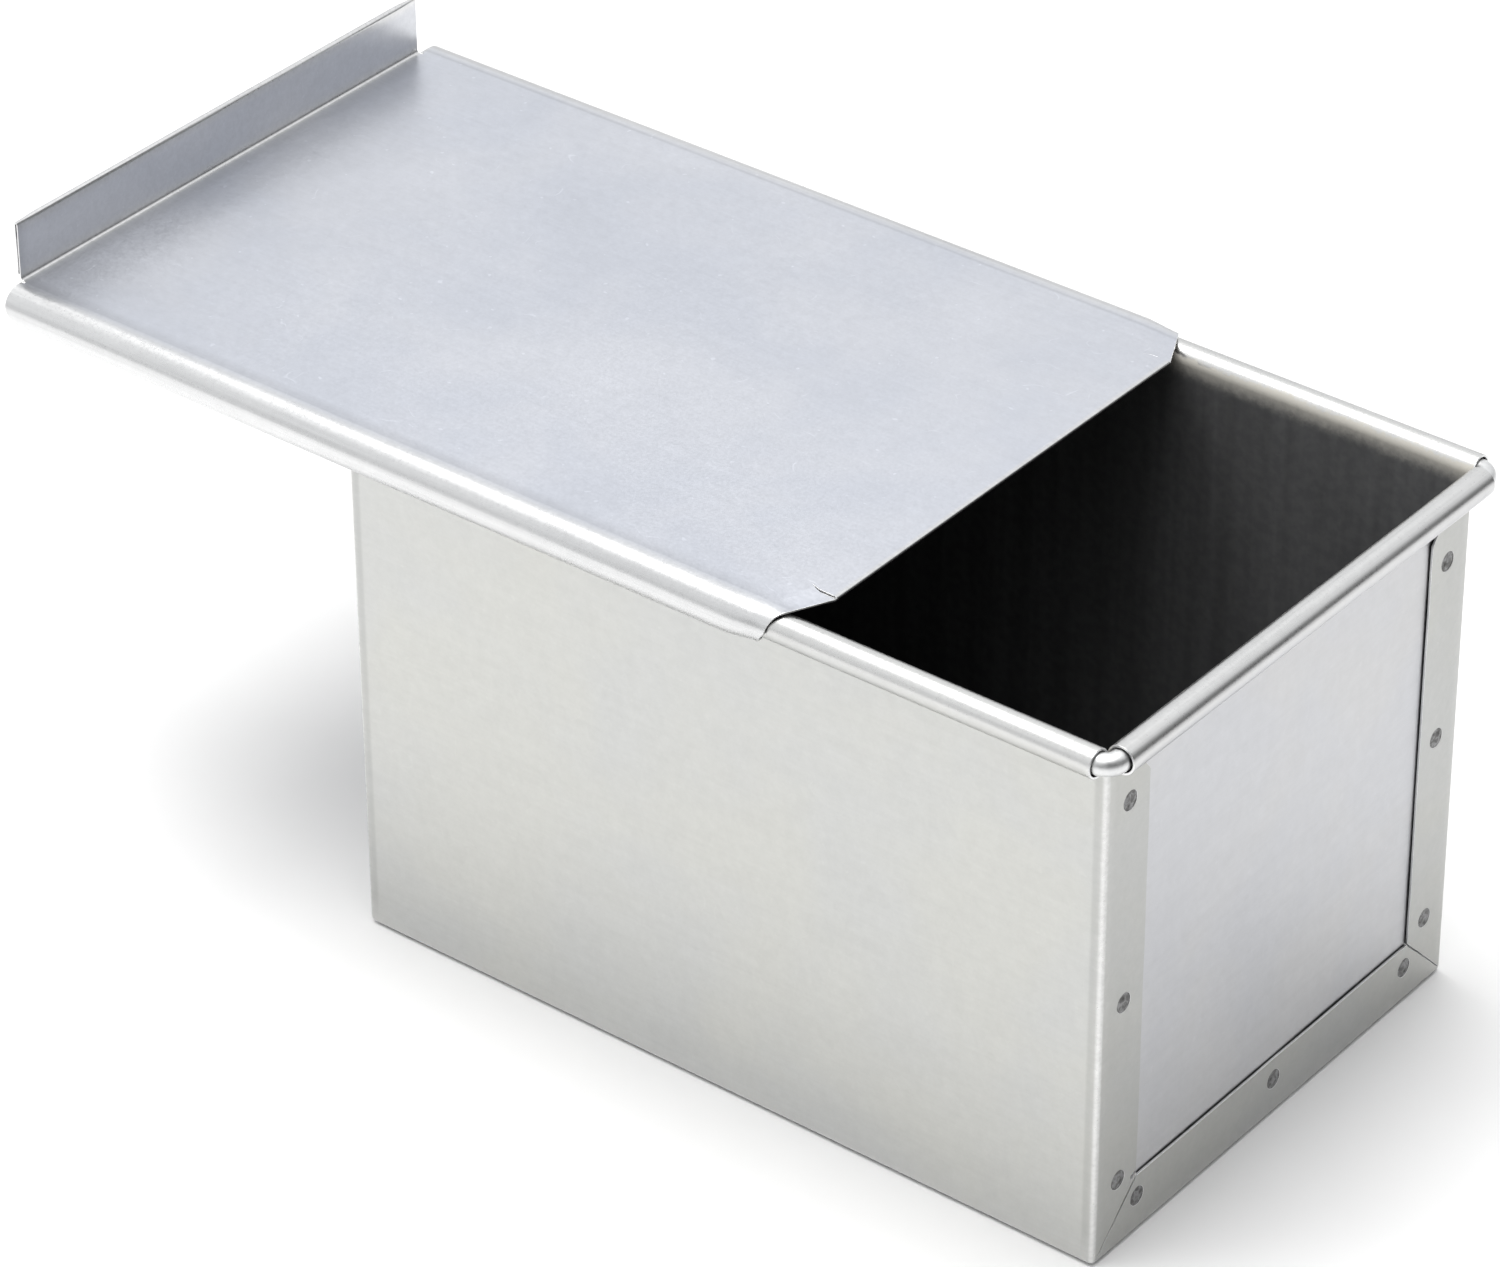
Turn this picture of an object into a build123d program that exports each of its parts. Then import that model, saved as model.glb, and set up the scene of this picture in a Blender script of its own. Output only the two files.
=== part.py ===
from build123d import *
from math import atan2, degrees, hypot
import os

# Square sandwich-loaf pan with a sliding lid, in millimetres.
# The origin is the centre of the flat base. +Z is up and X runs along the pan, with the
# front end at +X. Left is +Y. The lid slides off over the rear end and is drawn part open.

# Pan body, over its walls
pan_length = 181.0
pan_width = 120.0
pan_height = 120.0
sheet = 0.5
bend_radius = 1.2
seam_gap = 0.15

# Flanges of the body wrapper, folded over the outside of both end panels
flange_width = 13.5
flange_height = 13.7
flange_top_outer = 113.0
flange_top_inner = 109.4
flange_corner_radius = 1.8
mitre_slit = 0.3

# Edges rolled outwards around the rim wire
roll_diameter = 6.1
roll_sweep = 318.0
roll_end_gap = 0.3
roll_overhang = 0.9
roll_relief = 1.0
end_panel_lean = 0.3
wire_diameter = 4.5
wire_bend_radius = 2.8
wire_inset = 0.1

# Spot welds through a flange and an end panel, three in a row
weld_diameter = 4.2
weld_dimple = 0.08
weld_edge_distance = 7.6
right_weld_heights = (16.3, 57.9, 103.5)
left_weld_heights = (16.9, 60.3, 101.3)
bottom_weld_height = 8.4
bottom_weld_spacing = 45.8

# Lid: one sheet, curled around both long sides of the rim
lid_sheet = 0.4
lid_rise = 1.2
curl_y = 62.8
curl_radius = 4.5
curl_sweep = 205.0
curl_rear_radius = 7.0
lid_front = 24.2
lid_rear = -174.9
hem_half_width = 53.3
hem_depth = 6.4
hem_gap = 0.06
corner_slope = 0.5
curl_front_slope = 0.6
slit_width = 0.25

# Lid upstand, bent up at the rear and hemmed double as a finger grip
tab_face = -175.3
tab_left = 59.6
tab_right = -61.5
tab_top = 134.2
tab_bend = 0.8
tab_relief = 0.5
tab_loop_gap = 0.8
tab_foot_gap = 0.12

# Worked out from the sizes above
half_length = pan_length / 2
half_width = pan_width / 2
roll_radius = roll_diameter / 2
roll_height = pan_height - roll_radius
side_roll_y = half_width - sheet + roll_radius
panel_face = half_length - sheet - seam_gap
panel_inside = panel_face - sheet
end_roll_x = panel_inside + end_panel_lean + roll_radius
bend_start = half_length - bend_radius
side_roll_end = bend_start + roll_overhang
end_roll_end = half_width - sheet - roll_end_gap
panel_edge = bend_radius + 0.1
lid_top = pan_height + lid_rise
lid_under = lid_top - lid_sheet
curl_height = lid_top - curl_radius

# Section planes: across the pan (local x along +Y) and along it (local x along +X), both with z up
across = Plane(origin=(0, 0, 0), x_dir=(0, 1, 0), z_dir=(1, 0, 0))
along = Plane(origin=(0, 0, 0), x_dir=(1, 0, 0), z_dir=(0, -1, 0))


def slab(low, high):
    """Box between its lowest and highest corners."""
    size = [h - l for l, h in zip(low, high)]
    middle = [(l + h) / 2 for l, h in zip(low, high)]
    return Pos(*middle) * Box(*size)


def ring_sector(centre, outer, wall, start, sweep):
    """Face of a bent sheet: a ring of the given wall, from start through sweep degrees."""
    outside = CenterArc(centre, outer, start, sweep)
    inside = CenterArc(centre, outer - wall, start, sweep)
    return make_face([outside, inside, Line(outside @ 0, inside @ 0), Line(outside @ 1, inside @ 1)])


def mirrored(part, plane):
    """The part joined to its mirror image."""
    return part + mirror(part, plane)


def rounded_block(inset, top):
    """Solid block with round upright and bottom edges, the pan's outside moved in by inset."""
    x, y = half_length - inset, half_width - inset
    block = slab((-x, -y, inset), (x, y, top))
    edges = block.edges().filter_by(Axis.Z) + block.edges().group_by(Axis.Z)[0]
    return fillet(edges, bend_radius - inset)


def rolled_edge(centre, plane, half_run):
    """Edge rolled outwards around the wire, straight up from its wall at the inner side."""
    section = ring_sector((centre, roll_height), roll_radius, sheet, 180, -roll_sweep)
    return extrude(plane * section, half_run, both=True)


def flange_window():
    """Cutter for the front end that leaves two upright flanges and one along the bottom."""
    inner = half_width - flange_width
    outer = half_width + 1
    top = pan_height + 1
    left = [(inner, flange_height), (inner, flange_top_inner), (outer, flange_top_outer), (outer, top)]
    right = [(-y, z) for y, z in reversed(left)]
    face = make_face(Polyline(*left, *right, close=True))
    corners = face.vertices().filter_by(lambda v: abs(v.Y - flange_top_inner) < 0.01)
    face = fillet(corners, flange_corner_radius)
    return extrude(Pos(bend_start, 0, 0) * (across * face), bend_radius + 1)


def mitre_cutter():
    """Slit between the left flange and the bottom flange, out to the pan's lower corner."""
    angle = degrees(atan2(flange_width, flange_height))
    run = hypot(flange_width, flange_height) + 2
    middle = (half_length, half_width - flange_width / 2, flange_height / 2)
    return Pos(*middle) * Rot(angle, 0, 0) * Box(2 * bend_radius, mitre_slit, run)


def weld_places():
    """Centres of the spot welds at the front end, as (y, z) for each row."""
    y = half_width - weld_edge_distance
    return {
        "left": [(y, z) for z in left_weld_heights],
        "right": [(-y, z) for z in right_weld_heights],
        "bottom": [(n * bottom_weld_spacing, bottom_weld_height) for n in (-1, 0, 1)],
    }


def weld_button(y, z, x_from, x_to):
    """Round plug of fused metal along X."""
    return Pos((x_from + x_to) / 2, y, z) * Rot(0, 90, 0) * Cylinder(weld_diameter / 2, x_to - x_from)


def weld_row(row):
    """The spot welds of one row at the front end, a little hollow on both faces."""
    ends = (panel_inside + weld_dimple, half_length - weld_dimple)
    return [weld_button(y, z, *ends) for y, z in weld_places()[row]]


def weld_holes():
    """Cutter for every place at the front end where the two sheets are fused."""
    places = [place for row in weld_places().values() for place in row]
    return [weld_button(y, z, panel_inside - 1, half_length + 1) for y, z in places]


def body_wrapper():
    """One sheet that makes the bottom, both long sides, their rolls and the end flanges."""
    tray = rounded_block(0, roll_height) - rounded_block(sheet, roll_height + 1)
    cutters = [flange_window(), mitre_cutter(), mirror(mitre_cutter(), Plane.XZ), *weld_holes()]
    for cutter in cutters:
        tray = tray - cutter - mirror(cutter, Plane.YZ)
    root = slab((-side_roll_end, half_width - sheet, flange_top_outer + roll_relief),
                (side_roll_end, half_width, roll_height))
    return tray + mirrored(root + rolled_edge(side_roll_y, across, side_roll_end), Plane.XZ)


def end_panel():
    """Flat front end of the pan, leaning out above its flanges to an edge rolled around the wire."""
    lean_start = flange_top_outer - roll_relief
    face = [(panel_face, panel_edge), (panel_face, lean_start), (panel_face + end_panel_lean, roll_height)]
    inside = [(x - sheet, z) for x, z in reversed(face)]
    section = make_face(Polyline(*face, *inside, close=True))
    panel = extrude(along * section, half_width - panel_edge, both=True)
    for hole in weld_holes():
        panel = panel - hole
    return panel + rolled_edge(end_roll_x, along, end_roll_end)


def rim_wire():
    """Steel wire in one loop, with a bend at each corner of the rim."""
    length, width = 2 * (end_roll_x - wire_inset), 2 * (side_roll_y - wire_inset)
    loop = RectangleRounded(length, width, wire_bend_radius).face().outer_wire()
    loop = Pos(0, 0, roll_height) * loop
    section = Plane(origin=loop @ 0, z_dir=loop % 0) * Circle(wire_diameter / 2)
    return sweep(section, path=loop)


def lid_front_hem():
    """Front edge of the lid, folded back flat under itself."""
    fold = lid_sheet + hem_gap / 2
    centre = (lid_front - fold, lid_top - fold)
    turn = extrude(along * ring_sector(centre, fold, lid_sheet, 90, -180), hem_half_width, both=True)
    under = lid_under - hem_gap
    low = (lid_front - hem_depth, -hem_half_width, under - lid_sheet)
    high = (lid_front - fold, hem_half_width, under)
    return turn + slab(low, high)


def lid_tab():
    """Upstand at the rear: bend, front leg, loop at the top and a back leg that closes in."""
    bend_centre = (tab_face + tab_bend, lid_top + tab_bend)
    loop = lid_sheet + tab_loop_gap / 2
    loop_centre = (tab_face - loop, tab_top - loop)
    foot = tab_face - lid_sheet - tab_foot_gap
    front_leg = [
        (tab_face, bend_centre[1]),
        (tab_face, loop_centre[1]),
        (tab_face - lid_sheet, loop_centre[1]),
        (tab_face - lid_sheet, bend_centre[1]),
    ]
    back_leg = [
        (loop_centre[0] - loop, loop_centre[1]),
        (loop_centre[0] - loop + lid_sheet, loop_centre[1]),
        (foot, bend_centre[1]),
        (foot - lid_sheet, bend_centre[1]),
    ]
    sections = [
        ring_sector(bend_centre, tab_bend + lid_sheet, lid_sheet, 180, 90),
        make_face(Polyline(*front_leg, close=True)),
        ring_sector(loop_centre, loop, lid_sheet, 0, 180),
        make_face(Polyline(*back_leg, close=True)),
    ]
    start = Pos(0, tab_left, 0)
    return Part() + [extrude(start * (along * section), tab_left - tab_right) for section in sections]


def corner_trim():
    """Cutter for the lid's left front corner, sloping back from the end of the hem."""
    start = hem_half_width + slit_width
    reach = curl_radius + curl_y + 1
    ahead = lid_front + 1
    back = lid_front - corner_slope * (reach - hem_half_width)
    edge = [(lid_front, start), (ahead, start), (ahead, reach), (back, reach)]
    return extrude(Pos(0, 0, curl_height - curl_radius - 1) * make_face(Polyline(*edge, close=True)), 20)


def curl_front_trim():
    """Cutter that slopes the left curl's front end back towards its lower edge."""
    start = lid_front - corner_slope * (curl_y - hem_half_width)
    drop = 2 * curl_radius + 1
    edge = [(start, lid_under), (lid_front + 1, lid_under), (lid_front + 1, lid_under - drop),
            (start - curl_front_slope * drop, lid_under - drop)]
    cutter = extrude(along * make_face(Polyline(*edge, close=True)), -2 * curl_radius - 1)
    return Pos(0, curl_y - curl_radius, 0) * cutter


def curl_rear_trim():
    """Cutter that rounds the left curl's rear end down to its lower edge."""
    radius = curl_rear_radius
    lower_edge = curl_height - curl_radius
    corner = slab((lid_rear - 1, curl_y - curl_radius, lower_edge - 1),
                  (lid_rear + radius, curl_y + curl_radius + 1, lower_edge + radius))
    wheel = Cylinder(radius, 3 * curl_radius)
    return corner - Pos(lid_rear + radius, curl_y, lower_edge + radius) * Rot(90, 0, 0) * wheel


def lid():
    """One sheet: flat top, a curl along both sides, front hem between slits, rear upstand."""
    front_of_flat = lid_front - lid_sheet - hem_gap / 2
    flat_start = tab_face + tab_bend
    flat = slab((flat_start, -curl_y, lid_under), (front_of_flat, curl_y, lid_top))
    left_ear = slab((lid_rear, tab_left + tab_relief, lid_under), (flat_start, curl_y, lid_top))
    right_ear = slab((lid_rear, -curl_y, lid_under), (flat_start, tab_right - tab_relief, lid_top))
    curl_face = ring_sector((curl_y, curl_height), curl_radius, lid_sheet, 90, -curl_sweep)
    curl = extrude(Pos(lid_rear, 0, 0) * (across * curl_face), front_of_flat - lid_rear)
    slit = slab((lid_front - hem_depth, hem_half_width, lid_under - 1),
                (lid_front + 1, hem_half_width + slit_width, lid_top + 1))
    body = flat + left_ear + right_ear + mirrored(curl, Plane.XZ)
    for cutter in (corner_trim(), curl_front_trim(), curl_rear_trim(), slit):
        body = body - cutter - mirror(cutter, Plane.XZ)
    return body + lid_front_hem() + lid_tab()


def write(name, shape):
    """Write one named sub-part, as one solid or as a group of separate solids."""
    export_step(shape, f"parts/{name}.step")


os.makedirs("parts", exist_ok=True)
write("body_wrapper", body_wrapper())
write("front_end_panel", end_panel())
write("rear_end_panel", mirror(end_panel(), Plane.YZ))
write("rim_wire", rim_wire())
write("lid", lid())
for row_name in weld_places():
    buttons = weld_row(row_name)
    write(f"front_{row_name}_welds", Compound(buttons))
    write(f"rear_{row_name}_welds", Compound([mirror(button, Plane.YZ) for button in buttons]))
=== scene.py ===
import math

import bpy
import numpy as np
from mathutils import Matrix, Vector, noise


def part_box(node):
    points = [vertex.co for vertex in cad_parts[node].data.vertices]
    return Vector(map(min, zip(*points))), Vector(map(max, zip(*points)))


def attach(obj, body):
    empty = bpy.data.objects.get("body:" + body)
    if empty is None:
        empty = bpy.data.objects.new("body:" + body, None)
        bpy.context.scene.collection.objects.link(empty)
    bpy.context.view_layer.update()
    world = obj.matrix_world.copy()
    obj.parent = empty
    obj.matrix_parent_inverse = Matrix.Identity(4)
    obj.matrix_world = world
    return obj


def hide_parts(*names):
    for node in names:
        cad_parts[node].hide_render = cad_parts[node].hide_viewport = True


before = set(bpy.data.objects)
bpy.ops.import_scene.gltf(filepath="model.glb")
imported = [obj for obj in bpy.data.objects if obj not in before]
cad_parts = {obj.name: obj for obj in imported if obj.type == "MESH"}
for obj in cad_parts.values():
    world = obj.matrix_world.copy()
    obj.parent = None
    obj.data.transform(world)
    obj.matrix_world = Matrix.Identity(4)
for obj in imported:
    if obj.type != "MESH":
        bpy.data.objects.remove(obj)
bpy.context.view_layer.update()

# Square sandwich-loaf pan with a sliding lid, part open. Metres, +Z up, front end at +X and
# left at +Y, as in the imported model.

MM = 0.001
NEAR = 0.0001 * MM

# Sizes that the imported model's boxes don't give
SHEET = 0.5 * MM
BEND = 1.2 * MM
ROLL_RADIUS = 3.05 * MM
ROLL_SWEEP = 318
ROLL_OVERHANG = 0.9 * MM
ROLL_RELIEF = 1.0 * MM
SEAM_GAP = 0.15 * MM
PANEL_INSET = 1.3 * MM
PANEL_LEAN = 0.3 * MM
WIRE_RADIUS = 2.25 * MM
WIRE_BEND = 2.8 * MM
WIRE_INSET = 0.1 * MM
EDGE_ROUND = 0.09 * MM
COAT_TOP = 4.0 * MM
BARE = -20.0

FLANGE_WIDTH = 13.5 * MM
FLANGE_HEIGHT = 13.7 * MM
FLANGE_TOP_OUTER = 113.0 * MM
FLANGE_TOP_INNER = 109.4 * MM
FLANGE_CORNER = 1.8 * MM
MITRE_GAP = 0.16 * MM
FLANGE_LIFT = 0.16 * MM

WELD_RADIUS = 2.1 * MM
WELD_DIMPLE = 0.08 * MM
WELD_BLOCK = 2.6 * MM
WELD_RINGS = (1.12 * WELD_RADIUS, WELD_RADIUS)
WELD_SPOKES = 32
WELD_SHARES = (0.16, 0.32, 0.46, 0.58, 0.68, 0.76, 0.84, 0.9, 0.96, 0.995)
WELD_INSET = 7.6 * MM
RIGHT_WELDS = [16.3 * MM, 57.9 * MM, 103.5 * MM]
LEFT_WELDS = [16.9 * MM, 60.3 * MM, 101.3 * MM]
BOTTOM_WELD_Z = 8.4 * MM
BOTTOM_WELD_Y = 45.8 * MM

LID_SHEET = 0.4 * MM
LID_RISE = 1.2 * MM
CURL_RADIUS = 4.5 * MM
CURL_SWEEP = 205
CURL_REAR = 7.0 * MM
CURL_PINCH = 0.8 * MM
LID_SAG = 0.4 * MM
SAG_LENGTH = 8 * MM
HEM_HALF = 53.3 * MM
HEM_DEPTH = 6.4 * MM
HEM_GAP = 0.06 * MM
SLIT_START = 17.8 * MM
SLIT_CURVE = 20.6 * MM
SLIT_BOW = 1.9 * MM
SLIT_GAP = 0.13 * MM
CORNER_SLOPE = 0.5
CURL_SLOPE = 0.6
TAB_BEND = 0.8 * MM
TAB_GAP = 0.8 * MM
TAB_FOOT = 0.12 * MM
TAB_LEFT = 59.6 * MM
TAB_RIGHT = -61.5 * MM
TAB_NOTCH = 0.5 * MM
TAB_LEAN = 0.12 * MM
TAB_END_GAP = 0.15 * MM
KNEE_LENGTH = 20 * MM
FRONT_KNEE = 5 * MM

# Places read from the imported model
wrapper_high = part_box("body_wrapper")[1]
lid_low, lid_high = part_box("lid")
half_length = wrapper_high.x
pan_height = wrapper_high.z
half_width = wrapper_high.y - 2 * ROLL_RADIUS + SHEET
roll_z = pan_height - ROLL_RADIUS
side_roll_y = half_width - SHEET + ROLL_RADIUS
panel_face = half_length - SHEET - SEAM_GAP
panel_inside = panel_face - SHEET
end_roll_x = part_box("front_end_panel")[1].x - ROLL_RADIUS
end_roll_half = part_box("front_end_panel")[1].y
bend_start = half_length - BEND
side_roll_end = bend_start + ROLL_OVERHANG
lid_front = lid_high.x
tab_top = lid_high.z
tab_face = lid_low.x + 2 * LID_SHEET + TAB_GAP
lid_rear = tab_face + 0.4 * MM
lid_top = pan_height + LID_RISE
fold = LID_SHEET + HEM_GAP / 2
fold_start = lid_front - fold
tab_start = tab_face + TAB_BEND
notch_x = tab_start + 0.5 * MM
curl_y = lid_high.y - CURL_RADIUS
curl_z = lid_top - CURL_RADIUS


# Shapes: helpers

def lines(*stops):
    """Positions along one direction: lines(a, (b, n), (c, m)) has n steps from a to b, then m to c."""
    found = [stops[0]]
    for end, steps in stops[1:]:
        start = found[-1]
        found += [start + (end - start) * k / steps for k in range(1, steps + 1)]
    return found


def ramp(value, low, high):
    """0 below low, 1 above high, smooth in between."""
    t = min(1.0, max(0.0, (value - low) / (high - low)))
    return t * t * (3 - 2 * t)


def mix(a, b, share):
    return a + (b - a) * share


def around(centre, radius, degrees):
    """Point on a circle as a pair of numbers."""
    a = math.radians(degrees)
    return centre[0] + radius * math.cos(a), centre[1] + radius * math.sin(a)


def ripple(x, y, seed, size):
    """Slow unevenness from about -1 to 1, size metres across."""
    return 2.0 * noise.noise(Vector((x / size, y / size, 7.31 * seed)))


class Sheet:
    """A bent sheet as pairs of points, one on its front face and one on its back, joined into cells."""

    def __init__(self):
        self.index = {}
        self.front = []
        self.back = []
        self.cells = []

    def point(self, key, front, back):
        key = tuple(round(k * 1e7) for k in key)
        if key not in self.index:
            self.index[key] = len(self.front)
            self.front.append(tuple(front))
            self.back.append(tuple(back))
        return self.index[key]

    def grid(self, columns, rows, place, skip=None):
        """Cells between columns and rows. place(column, row) gives a key and the two points."""
        ids = [[self.point(*place(c, r)) for r in rows] for c in columns]
        for i in range(len(columns) - 1):
            for j in range(len(rows) - 1):
                middle = ((columns[i] + columns[i + 1]) / 2, (rows[j] + rows[j + 1]) / 2)
                if skip is None or not skip(*middle):
                    self.cells.append((ids[i][j], ids[i + 1][j], ids[i + 1][j + 1], ids[i][j + 1]))

    def hole(self, centre, block, steps, radii, place):
        """Rings of cells from a square block of the grid in to a round hole."""
        side = lines(-block, (block, steps))
        square = [(s, -block) for s in side[:-1]] + [(block, s) for s in side[:-1]]
        square += [(-s, block) for s in side[:-1]] + [(-block, -s) for s in side[:-1]]
        outer = [self.point(*place(centre[0] + a, centre[1] + b)) for a, b in square]
        count = len(square)
        for radius in radii:
            ring = []
            for k in range(count):
                c, r = around(centre, radius, 225 + 360 * k / count)
                ring.append(self.point(*place(c, r)))
            for k in range(count):
                n = (k + 1) % count
                self.cells.append((outer[k], outer[n], ring[n], ring[k]))
            outer = ring

    def build(self, name, body, nodes, slot, materials, **rules):
        """Makes the closed solid: both faces, and a rounded strip along every cut edge."""
        front, back = np.array(self.front), np.array(self.back)
        through = front - back
        up = through / np.linalg.norm(through, axis=1, keepdims=True)
        cells = [self.turned(c, front, up) for c in self.cells]
        border = open_edges(cells)
        out, inset = outward(front, up, border)
        count = len(front)
        edge_ids = sorted({v for e in border for v in e})
        place = {v: 2 * count + 2 * k for k, v in enumerate(edge_ids)}
        rims = []
        for v in edge_ids:
            rims += [front[v] - up[v] * EDGE_ROUND, back[v] + up[v] * EDGE_ROUND]
        points = np.vstack([front - inset, back - inset, np.array(rims).reshape(-1, 3)])
        shading = (vertex_normals(front, cells), vertex_normals(back, cells), out)
        faces, normals = sheet_faces(cells, *shading[:2])
        strips, strip_normals = edge_faces(border, place, *shading)
        kinds = [0] * len(faces) + [1] * len(strips)
        piece = mesh_piece(name, points, faces + strips, normals + strip_normals, kinds, materials,
                           body, nodes)
        face_of = np.concatenate([np.zeros(count), np.ones(count), np.full(len(rims), 2)])
        for label in ("coat_depth", "rub", "heat", "dull"):
            rule = rules.get(label)
            point_values(piece, label, [rule(p, f) if rule else 0.0 for p, f in zip(points, face_of)])
        return piece

    @staticmethod
    def turned(cell, front, up):
        """The cell with its corners anticlockwise seen from the front."""
        a, b, c, d = (front[v] for v in cell)
        facing = np.dot(np.cross(c - a, d - b), sum(up[v] for v in cell))
        return cell if facing > 0 else tuple(reversed(cell))


def open_edges(cells):
    """Edges with a cell on one side only, in the direction that the cell runs."""
    directed = {(c[k], c[(k + 1) % len(c)]) for c in cells for k in range(len(c))}
    return sorted(e for e in directed if (e[1], e[0]) not in directed)


def outward(points, up, border):
    """Unit directions out of the sheet at its cut edges, and how far each edge point draws in."""
    total = np.zeros_like(points)
    for a, b in border:
        side = np.cross(points[b] - points[a], up[a] + up[b])
        side /= max(np.linalg.norm(side), 1e-12)
        total[a] += side
        total[b] += side
    length = np.linalg.norm(total, axis=1, keepdims=True)
    out = np.where(length > 0.3, total / np.maximum(length, 1e-9), 0)
    return out, out * EDGE_ROUND * np.minimum(2 / np.maximum(length, 0.3), 1.5)


def sheet_faces(cells, front_normal, back_normal):
    """Each cell on the front face and, turned over, on the back, with its corners' normals."""
    count = len(front_normal)
    faces, normals = [], []
    for cell in cells:
        faces += [cell, tuple(v + count for v in reversed(cell))]
        normals += [front_normal[v] for v in cell] + [-back_normal[v] for v in reversed(cell)]
    return faces, normals


def edge_faces(border, place, front_normal, back_normal, out):
    """Three faces across every cut edge, from the front to the back."""
    count = len(front_normal)
    faces, normals = [], []
    for a, b in border:
        rows = [(a, b), (place[a], place[b]), (place[a] + 1, place[b] + 1), (a + count, b + count)]
        sides = [(front_normal[a], front_normal[b]), (out[a], out[b]), (out[a], out[b]),
                 (-back_normal[a], -back_normal[b])]
        for k in range(3):
            faces.append((rows[k][0], rows[k + 1][0], rows[k + 1][1], rows[k][1]))
            normals += [sides[k][0], sides[k + 1][0], sides[k + 1][1], sides[k][1]]
    return faces, normals


def vertex_normals(points, cells):
    """Normals weighted by area, so that a flat face stays flat up to its bends."""
    cells = np.array(cells)
    a, b, c, d = (points[cells[:, k]] for k in range(4))
    across = np.cross(c - a, d - b)
    total = np.zeros_like(points)
    for k in range(4):
        np.add.at(total, cells[:, k], across)
    return total / np.maximum(np.linalg.norm(total, axis=1, keepdims=True), 1e-15)


def mesh_piece(name, points, faces, normals, kinds, materials, body, nodes):
    """A new piece with its own shading normals, riding on a body in place of its CAD nodes."""
    mesh = bpy.data.meshes.new(name)
    mesh.from_pydata([tuple(p) for p in points], [], [tuple(f) for f in faces])
    for material in materials:
        mesh.materials.append(material)
    mesh.polygons.foreach_set("material_index", kinds)
    mesh.polygons.foreach_set("use_smooth", [True] * len(mesh.polygons))
    if normals is not None:
        mesh.normals_split_custom_set([tuple(n) for n in normals])
    piece = bpy.data.objects.new(name, mesh)
    bpy.context.scene.collection.objects.link(piece)
    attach(piece, body)
    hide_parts(*nodes)
    return piece


def point_values(piece, label, values):
    """Stores one number for each point of a piece, for its material to read."""
    layer = piece.data.attributes.new(label, "FLOAT", "POINT")
    layer.data.foreach_set("value", values)


# Shapes: pan

def weld_places():
    """Centres of the spot welds on an end, as (y, z)."""
    y = half_width - WELD_INSET
    left = [(y, z) for z in LEFT_WELDS]
    right = [(-y, z) for z in RIGHT_WELDS]
    bottom = [(n * BOTTOM_WELD_Y, BOTTOM_WELD_Z) for n in (-1, 0, 1)]
    return {"left": left, "right": right, "bottom": bottom}


all_welds = [place for row in weld_places().values() for place in row]


def weld_distance(y, z):
    return min(math.hypot(y - a, z - b) for a, b in all_welds)


def wall_bulge(point):
    """How far the thin sheet stands out of true at a point of the pan, as a vector."""
    x, y, z = point
    inner = ramp(half_length - abs(x), 2 * MM, 26 * MM)
    side = ramp(half_width - abs(y), 2 * MM, 26 * MM)
    height = ramp(z, 2 * MM, 26 * MM) * ramp(roll_z - z, 0, 20 * MM)
    bulge = Vector((0, 0, 0))
    if abs(y) > half_width - 1 * MM and z < roll_z:
        sign = math.copysign(1, y)
        bulge.y = sign * inner * height * MM * (0.22 * ripple(x, z, 1 + sign, 0.07) - 0.25)
    elif z < 1 * MM:
        bulge.z = inner * side * MM * (0.35 + 0.15 * ripple(x, y, 5, 0.06))
    elif abs(x) > half_length - 3 * MM and z < roll_z:
        sign = math.copysign(1, x)
        if abs(x) > half_length - 0.6 * MM:
            run = half_width - abs(y)
            if run < FLANGE_WIDTH:
                free = ramp(run, FLANGE_WIDTH - 5 * MM, FLANGE_WIDTH)
            else:
                free = ramp(z, FLANGE_HEIGHT - 5 * MM, FLANGE_HEIGHT)
            between = ramp(weld_distance(y, z), 2.5 * MM, 9 * MM)
            uneven = 0.7 + 0.3 * ripple(y, z, 9 + sign, 0.02)
            bulge.x = sign * FLANGE_LIFT * free * between * uneven
            dent = math.exp(-max(0, weld_distance(y, z) - WELD_RADIUS) / (0.5 * MM))
            bulge.x -= sign * 0.05 * MM * dent
        else:
            flat = ramp(half_width - abs(y), 14 * MM, 32 * MM) * ramp(z, 14 * MM, 32 * MM)
            flat *= ramp(roll_z - z, 0, 20 * MM)
            bulge.x = sign * flat * MM * (0.15 * ripple(y, z, 13 + sign, 0.06) - 0.2)
    return bulge


def box_point(x, y, z):
    """The wrapper's outside and inside where the sharp box would have the point (x, y, z)."""
    sharp = Vector((x, y, z))
    core = Vector((
        max(-half_length + BEND, min(half_length - BEND, x)),
        max(-half_width + BEND, min(half_width - BEND, y)),
        max(BEND, z),
    ))
    out = (sharp - core).normalized()
    bulge = wall_bulge(sharp)
    return (x, y, z), core + out * BEND + bulge, core + out * (BEND - SHEET) + bulge


def mitre_offset(distance):
    """Half of the mitre's width measured along an edge, closing at the pan's corner."""
    return MITRE_GAP * ramp(distance, 0, 3 * MM)


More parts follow.
